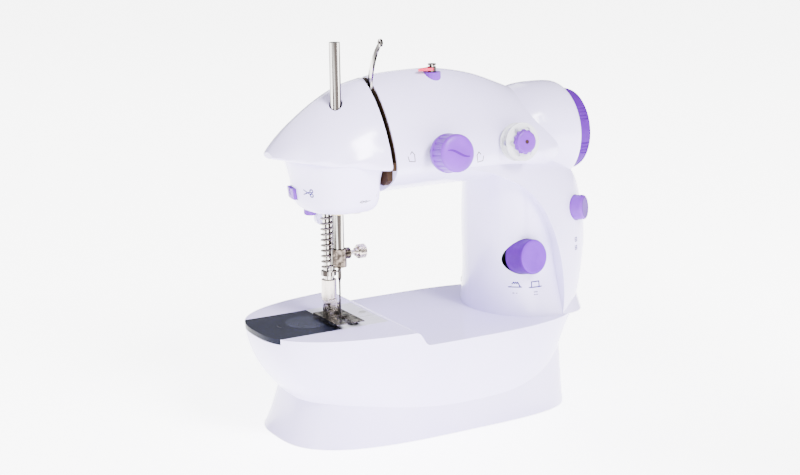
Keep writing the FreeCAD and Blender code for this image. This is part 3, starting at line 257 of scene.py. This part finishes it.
dark_chrome = make_material("dark_chrome", (0.035, 0.030, 0.028), (0.40, 0.37, 0.34), (0.14, 0.28),
                            metallic=1.0, grain=(420.0, 2.0), edges=(0.40, 0.62))
clamp_metal = make_material("clamp_metal", (0.030, 0.024, 0.020), (0.17, 0.135, 0.115), (0.2, 0.3),
                            metallic=1.0, grain=(420.0, 2.0), edges=(0.40, 0.62))

# The material of each record slot, and of the few nodes that differ from their slot.
SLOT_MATERIALS = {
    "white_plastic": white_plastic, "purple_plastic": purple_plastic, "dark_plastic": dark_plastic,
    "smoky_cover": smoky_plastic, "pink_plastic": pink_plastic, "clear_plastic": clear_plastic,
    "chrome": chrome, "steel": steel, "spring_steel": wire_steel, "brass": brass,
    "frame_metal": cast_metal, "rubber": rubber, "board": board_green, "lens": lamp_lens,
}
NODE_MATERIALS = {
    "needle_clamp": clamp_metal, "presser_lifter": white_plastic, "presser_foot": dark_chrome,
    "foot_holder": warm_chrome, "needle_plate": pale_plate,
}
for entry in frame["record"]["subparts"]:
    item = nodes[entry["node"]]
    item.data.materials.clear()
    item.data.materials.append(NODE_MATERIALS.get(entry["node"], SLOT_MATERIALS[entry["material_slot"]]))
    for face in item.data.polygons:
        face.material_index = 0


# ---------------------------------------------------------------------- small shapes

def add_piece(name, points, faces, material, body, smooth=True):
    """A mesh from points in metres, carried by a body of the assembly."""
    mesh = bpy.data.meshes.new(name)
    mesh.from_pydata([tuple(p) for p in points], [], faces)
    mesh.update()
    for face in mesh.polygons:
        face.use_smooth = smooth
    mesh.materials.append(material)
    piece = bpy.data.objects.new(name, mesh)
    bpy.context.scene.collection.objects.link(piece)
    if smooth:
        mesh.set_sharp_from_angle(angle=math.radians(35))
    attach(piece, body)
    return piece


def turned_frame(axis):
    """Two directions square to an axis; the second is as near to upright as can be."""
    axis = axis.normalized()
    across = Vector((0, 0, 1)).cross(axis)
    across = across.normalized() if across.length > 0.01 else Vector((0, 1, 0))
    return across, axis.cross(across)


def add_turned(name, profile, centre, axis, material, body, segments=96, wave=None):
    """A shape turned about an axis.  profile holds (distance along the axis, radius) in mm.

    wave(angle, along) gives what is added to the radius."""
    axis = axis.normalized()
    across, upright = turned_frame(axis)
    points, faces = [], []
    for along, radius in profile:
        for step in range(segments):
            angle = 2 * math.pi * step / segments
            reach = max(0.0, radius + (wave(angle, along) if wave else 0.0)) * MM
            spoke = across * math.cos(angle) + upright * math.sin(angle)
            points.append(centre + axis * along * MM + spoke * reach)
    for ring in range(len(profile) - 1):
        for step in range(segments):
            after = (step + 1) % segments
            faces.append((ring * segments + step, ring * segments + after,
                          (ring + 1) * segments + after, (ring + 1) * segments + step))
    faces.append(tuple(reversed(range(segments))))
    faces.append(tuple(range((len(profile) - 1) * segments, len(profile) * segments)))
    return add_piece(name, points, faces, material, body)


trees = {}


def tree_of(node):
    """The search tree of a node's surface, made once."""
    if node not in trees:
        mesh = nodes[node].data
        corners = [vertex.co.copy() for vertex in mesh.vertices]
        trees[node] = BVHTree.FromPolygons(corners, [list(face.vertices) for face in mesh.polygons])
    return trees[node]


LAND_START, LAND_REACH = 0.02, 0.06
LONGEST_STEP = 1.2


def land(spot, outward, on_nodes, lift=0.04):
    """Drop a spot onto the first surface met along -outward, then lift it slightly."""
    start = spot + outward * LAND_START
    hits = [tree_of(node).ray_cast(start, -outward, LAND_REACH)[0] for node in on_nodes]
    hits = [hit for hit in hits if hit is not None]
    if not hits:
        return spot
    nearest = min(hits, key=lambda hit: (hit - start).length)
    return nearest + outward * lift * MM


def add_marks(name, strokes, centre, outward, material, body, on_nodes, width=0.4):
    """Thin printed lines on a surface, and the dark strip of painted shade in the guide hole.  strokes hold
    (right, up) points in mm seen from outside.
    """
    outward = outward.normalized()
    right, upright = turned_frame(outward)
    points, faces = [], []
    for stroke in strokes:
        run = [Vector(p) for p in stroke]
        for first, second in zip(run, run[1:]):
            along = (second - first).normalized()
            side = Vector((-along.y, along.x)) * width / 2
            ends = (first - along * width / 2, second + along * width / 2)
            pieces = max(1, int((second - first).length / LONGEST_STEP))
            start = len(points)
            for index in range(pieces + 1):
                at = ends[0].lerp(ends[1], index / pieces)
                for flat in (at + side, at - side):
                    spot = centre + (right * flat.x + upright * flat.y) * MM
                    points.append(land(spot, outward, on_nodes))
            for index in range(pieces):
                a = start + 2 * index
                faces.append((a, a + 1, a + 3, a + 2))
    return add_piece(name, points, faces, material, body, smooth=False)


def add_patch(name, radius, centre, outward, material, body, on_nodes, rings=5, segments=48, lift=0.05):
    """A round patch that follows a surface."""
    outward = outward.normalized()
    right, upright = turned_frame(outward)
    points, faces = [land(centre, outward, on_nodes, lift)], []
    for ring in range(1, rings + 1):
        for step in range(segments):
            angle = 2 * math.pi * step / segments
            reach = radius * MM * ring / rings
            spot = centre + (right * math.cos(angle) + upright * math.sin(angle)) * reach
            points.append(land(spot, outward, on_nodes, lift))
    for step in range(segments):
        after = (step + 1) % segments
        faces.append((0, 1 + step, 1 + after))
        for ring in range(rings - 1):
            low, high = 1 + ring * segments, 1 + (ring + 1) * segments
            faces.append((low + step, high + step, high + after, low + after))
    return add_piece(name, points, faces, material, body, smooth=False)


def middle(node):
    """The centre of a node's box."""
    low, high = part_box(node)
    return (low + high) / 2


def turned_face(swing, tilt):
    """The outward direction of a front face that leans back by tilt and turns right by swing."""
    a, e = math.radians(swing), math.radians(tilt)
    return Vector((math.cos(e) * math.sin(a), -math.cos(e) * math.cos(a), math.sin(e)))


def joint_of(name):
    return next(j for j in frame["record"]["behaviour"]["joints"] if j["name"] == name)


# ---------------------------------------------------------------------- the handwheel

wheel_low, wheel_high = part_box("handwheel")
wheel_radius = (wheel_high.z - wheel_low.z) / 2 / MM
wheel_width = (wheel_high.x - wheel_low.x) / MM
wheel_centre = Vector((wheel_low.x, middle("handwheel").y, middle("handwheel").z))
WHEEL_GROUPS, GROOVES_IN_GROUP = 7, 4.0
GROOVE_PITCH, GROOVE_DEPTH = 2.1, 0.55
GROUP_START = 0.3
BAND_LEFT, BAND_RIGHT = 1.2, 1.4
HAIR = 0.01


def wheel_wave(angle, along):
    """Seven groups of four grooves across the rim."""
    if not BAND_LEFT < along < wheel_width - BAND_RIGHT:
        return 0.0
    share = (angle * WHEEL_GROUPS / (2 * math.pi) + GROUP_START) % 1.0
    place = share * 2 * math.pi * wheel_radius / WHEEL_GROUPS / GROOVE_PITCH
    if place > GROOVES_IN_GROUP:
        return 0.0
    return -GROOVE_DEPTH * max(0.0, 1.0 - abs((place % 1.0) - 0.5) * 4.0) ** 0.5


def add_handwheel():
    """The rim with its grooved band, and a dished outer face with a raised hub."""
    radius, width = wheel_radius, wheel_width
    profile = [(0.0, radius - 1.4), (0.4, radius - 0.5),
               (BAND_LEFT - HAIR, radius), (BAND_LEFT + HAIR, radius)]
    profile += [(1.3 + (width - 2.8) * step / 3, radius) for step in range(4)]
    profile += [(width - BAND_RIGHT - HAIR, radius), (width - BAND_RIGHT + HAIR, radius),
                (width - 0.5, radius - 0.4), (width, radius - 1.5), (width, radius - 4.0),
                (width - 1.2, radius - 5.5), (width - 1.2, 7.5), (width - 0.2, 6.8),
                (width, 5.5), (width, 1.0)]
    wheel = add_turned("handwheel_rim", profile, wheel_centre, Vector((1, 0, 0)), purple_deep,
                       "main_drive", segments=720, wave=wheel_wave)
    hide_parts("handwheel")


# ------------------------------------------------------------------ the tension knob

knob_joint = joint_of("tension_turn")
FACE = Vector(knob_joint["axis"])
knob_seat = Vector(knob_joint["pos_m"])
KNOB_RADIUS, KNOB_START, KNOB_DEPTH = 10.25, 4.8, 12.6
KNOB_FLUTES, FLUTE_DEPTH = 20, 0.45
GROOVE_STEPS, GROOVE_HALF_LENGTH, GROOVE_SWING, GROOVE_HALF_WIDTH = 24, 6.4, 2.1, 0.75


def knob_wave(angle, along):
    if not 2.6 < along < KNOB_DEPTH - 2.0:
        return 0.0
    return -FLUTE_DEPTH * max(0.0, math.cos(KNOB_FLUTES * angle)) ** 1.5


def add_tension_knob():
    """A fluted grip with a collar at its foot and a slightly domed face."""
    radius, depth = KNOB_RADIUS, KNOB_DEPTH
    profile = [(0.0, radius - 1.0), (0.3, radius - 0.1), (0.9, radius), (2.2, radius), (2.5, radius - 0.3),
               (2.7, radius - 0.35), (6.0, radius - 0.4), (depth - 2.1, radius - 0.4),
               (depth - 1.8, radius - 0.4), (depth - 1.0, radius - 0.8), (depth - 0.5, radius - 1.6),
               (depth - 0.2, radius - 3.5), (depth, radius - 6.5), (depth + 0.05, 0.5)]
    knob = add_turned("tension_knob_grip", profile, knob_seat + FACE * KNOB_START * MM, FACE, purple_plastic,
                      "tension_knob", segments=240, wave=knob_wave)
    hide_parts("tension_knob")


def add_knob_groove():
    """A dark strip across the knob's face, S-shaped and pointed at both ends: the groove's painted shade."""
    across, upright = turned_frame(FACE)
    points, faces = [], []
    for step in range(GROOVE_STEPS + 1):
        share = step / GROOVE_STEPS
        along = GROOVE_HALF_LENGTH * (2 * share - 1)
        rise = -GROOVE_SWING * math.sin((share - 0.5) * 3.6)
        half_width = GROOVE_HALF_WIDTH * math.sin(math.pi * (0.08 + 0.84 * share))
        for edge in (rise - half_width, rise + half_width):
            dome = KNOB_START + KNOB_DEPTH + 0.14 - 0.0045 * math.hypot(along, edge) ** 2
            points.append(knob_seat + (FACE * dome + across * along + upright * edge) * MM)
    for step in range(GROOVE_STEPS):
        faces.append((2 * step, 2 * step + 1, 2 * step + 3, 2 * step + 2))
    add_piece("knob_groove_painted_shade", points, faces, purple_deep, "tension_knob", smooth=False)


# ------------------------------------------------------------- the spool's cap

CAP_START, CAP_DEPTH = 8.5, 3.4
CAP_SCALLOPS, SCALLOP_DEPTH = 12, 0.35


def cap_wave(angle, along):
    return SCALLOP_DEPTH * math.cos(CAP_SCALLOPS * angle) if along < 1.7 else 0.0


def add_spool_cap():
    """A stepped cap, scalloped round its wide part, with a dark disc of painted shade set into the hole in
    the middle.
    """
    seat = Vector(joint_of("front_spool_spin")["pos_m"])
    profile = [(0.0, 6.0), (0.2, 6.3), (1.6, 6.3), (1.8, 5.9), (2.9, 5.8), (3.3, 5.3), (CAP_DEPTH, 4.6),
               (CAP_DEPTH, 1.15), (CAP_DEPTH - 1.2, 1.0)]
    cap = add_turned("spool_cap_form", profile, seat + FACE * CAP_START * MM, FACE, purple_plastic,
                     "spool_cap", segments=144, wave=cap_wave)
    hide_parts("spool_cap")
    # A dark disc just inside the hole: painted shade.
    hole_place = seat + FACE * (CAP_START + CAP_DEPTH - 0.2) * MM
    add_turned("spool_cap_hole_shade", [(0.0, 1.15), (0.25, 1.1)], hole_place, FACE, dark_plastic, "spool_cap",
               segments=32)


# ------------------------------------------------------------------- the clamp screw

screw_low, screw_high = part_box("needle_clamp_screw")
SHANK_RADIUS, COLLAR_RADIUS, HEAD_RADIUS, HEAD_LENGTH = 1.2, 2.2, 3.75, 4.6
KNURLS, KNURL_DEPTH = 26, 0.22
head_start = (screw_high.x - screw_low.x) / MM - HEAD_LENGTH


def knurl(angle, along):
    on_band = head_start + 0.5 < along < head_start + 3.9
    return -KNURL_DEPTH * max(0.0, math.cos(KNURLS * angle)) if on_band else 0.0


def add_clamp_screw():
    centre = middle("needle_clamp_screw")
    start, head = head_start, HEAD_RADIUS
    profile = [(0.0, SHANK_RADIUS), (5.9, SHANK_RADIUS), (6.0, COLLAR_RADIUS), (start - 0.05, COLLAR_RADIUS),
               (start, head - 0.35), (start + 0.5, head), (start + 0.55, head), (start + 2.2, head),
               (start + 3.85, head), (start + 3.95, head), (start + 4.5, head - 0.55),
               (start + HEAD_LENGTH, 1.0)]
    screw = add_turned("clamp_screw_knurled", profile, Vector((screw_low.x, centre.y, centre.z)),
                       Vector((1, 0, 0)), warm_chrome, "clamp_screw", segments=208, wave=knurl)
    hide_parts("needle_clamp_screw")


# ------------------------------------------------------------------- the printed marks, and the guide hole's painted shade

COLUMN, BLOCK, COVER = ["front_casing"], ["bar_housing"], ["bobbin_cover"]
UP = Vector((0, 0, 1))


def add_speed_marks():
    """A wavy low shape and a square high one, with one bar and two bars below them."""
    front = turned_face(-6, 0)
    low_mark, high_mark = Vector(LOW_SPEED_PLACE) * MM, Vector(HIGH_SPEED_PLACE) * MM
    below = UP * BARS_BELOW * MM
    low_shape = [[(-3.0, -1.4), (3.0, -1.4)], [(-2.5, -1.4), (-1.4, 0.7)], [(2.5, -1.4), (1.4, 0.7)],
                 [(-1.4, 0.7), (-0.9, 1.3), (-0.4, 0.7), (0.1, 1.3), (0.6, 0.7), (1.0, 1.3), (1.4, 0.7)]]
    high_shape = [[(-3.6, -1.5), (3.6, -1.5)], [(-2.3, -1.5), (-2.3, 1.5)], [(2.3, -1.5), (2.3, 1.5)],
                  [(-2.3, 1.5), (2.3, 1.5)]]
    one_bar = [[(-0.9, 0.0), (0.9, 0.0)]]
    two_bars = [[(-0.9, -0.7), (0.9, -0.7)], [(-0.9, 0.7), (0.9, 0.7)]]
    for name, strokes, place, width in (("low_speed_mark", low_shape, low_mark, 0.62),
                                        ("high_speed_mark", high_shape, high_mark, 0.62),
                                        ("one_bar_mark", one_bar, low_mark - below, 0.5),
                                        ("two_bar_mark", two_bars, high_mark - below, 0.5)):
        add_marks(name, strokes, place, front, purple_print, "machine", COLUMN, width=width)


def add_power_marks():
    """Two small squares, each with a bar: a short one for off and a long one for on."""
    square = [(-1.0, -1.0), (1.0, -1.0), (1.0, 1.0), (-1.0, 1.0), (-1.0, -1.0)]
    for index, (place, half_bar) in enumerate(zip(POWER_PLACES, (0.3, 1.0))):
        add_marks(f"power_mark_{index}", [square, [(-half_bar, 0.0), (half_bar, 0.0)]], Vector(place) * MM,
                  turned_face(38, 4), purple_print, "machine", COLUMN, width=0.5)


def add_tension_marks():
    """A curled arrow on each side of the tension knob, mirrored."""
    for index, (place, flip) in enumerate(zip(TENSION_PLACES, (-1, 1))):
        strokes = [[(-1.5 * flip, -2.6), (-1.7 * flip, 1.0), (-0.4 * flip, 2.6), (0.6 * flip, 1.4)],
                   [(-1.0 * flip, -2.6), (1.8 * flip, -2.2), (2.2 * flip, 0.2)]]
        add_marks(f"tension_mark_{index}", strokes, Vector(place) * MM, FACE, grey_print, "machine", COLUMN,
                  width=0.42)


def add_housing_marks():
    """The scissors beside the cutter, the threading sketch, and a dark strip of painted shade for the small
    square guide hole.
    """
    loops = []
    for middle_x, middle_y in ((2.2, 1.15), (2.2, -1.15)):
        turns = [math.pi * step / 6 for step in range(13)]
        loops.append([(middle_x + 0.95 * math.cos(turn), middle_y + 0.8 * math.sin(turn)) for turn in turns])
    blades = [[(1.4, 0.7), (-3.4, -1.2)], [(1.4, -0.7), (-3.4, 1.2)]]
    add_marks("scissors_mark", loops + blades, Vector(SCISSORS_PLACE) * MM, Vector((-0.93, -0.37, 0.0)),
              purple_print, "machine", BLOCK, width=0.62)
    add_marks("threading_mark",
              [[(-2.8, 0.0), (-1.6, 0.6), (-0.4, 0.0), (-1.6, -0.6), (-2.8, 0.0)],
               [(-0.4, 0.0), (0.6, 0.5), (1.4, 0.0), (0.6, -0.5), (-0.4, 0.0)], [(1.4, 0.0), (3.0, 0.2)]],
              Vector(THREADING_PLACE) * MM, Vector((0.05, -1.0, 0.0)), grey_print, "machine", BLOCK,
              width=0.4)
    # The guide hole is not cut: a dark strip of painted shade stands for it.
    add_marks("guide_hole_painted_shade", [[(-0.4, 0.0), (0.4, 0.0)]], Vector(GUIDE_HOLE_PLACE) * MM,
              Vector((0.25, -0.97, 0.0)), dark_plastic, "machine", BLOCK, width=1.5)


def add_cover_marks():
    """The lighter round window over the bobbin and the arrow that shows how the cover slides."""
    window_place = Vector((middle("hook").x, 0.0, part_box("bobbin_cover")[1].z))
    add_patch("cover_window", WINDOW_RADIUS, window_place, UP, smoky_light, "bobbin_cover", COVER)
    arrow = [[(-2.2, 0.0), (2.2, 0.0)], [(-2.2, 0.0), (-1.0, 1.0)], [(-2.2, 0.0), (-1.0, -1.0)]]
    add_marks("cover_arrow", arrow, window_place + Vector((ARROW_FROM_WINDOW, 0, 0)) * MM, UP, grey_print,
              "bobbin_cover", COVER, width=0.35)


# ------------------------------------------------------------ button faces: painted shade on the speed button's sides, a darker face on the power button

def paint_faces(node, axis, limit, material):
    """Give the faces that point along an axis their own material."""
    item = nodes[node]
    item.data.materials.append(material)
    for face in item.data.polygons:
        if face.normal.dot(axis) > limit:
            face.material_index = 1


def paint_buttons():
    """A dark side, which is painted shade, and a bright face on the speed button; the reverse on the power
    button, whose face is dark.
    """
    # The speed button's sides take the darker purple as painted shade; only its face gets the bright purple.
    nodes["speed_button"].data.materials[0] = purple_deep
    paint_faces("speed_button", -Vector(joint_of("speed_press")["axis"]), 0.6, purple_bright)
    paint_faces("power_button", -Vector(joint_of("power_press")["axis"]), 0.93, purple_deep)


add_handwheel()
add_tension_knob()
add_knob_groove()
add_spool_cap()
add_clamp_screw()
add_speed_marks()
add_power_marks()
add_tension_marks()
add_housing_marks()
add_cover_marks()
paint_buttons()
add_camera()
add_stage()
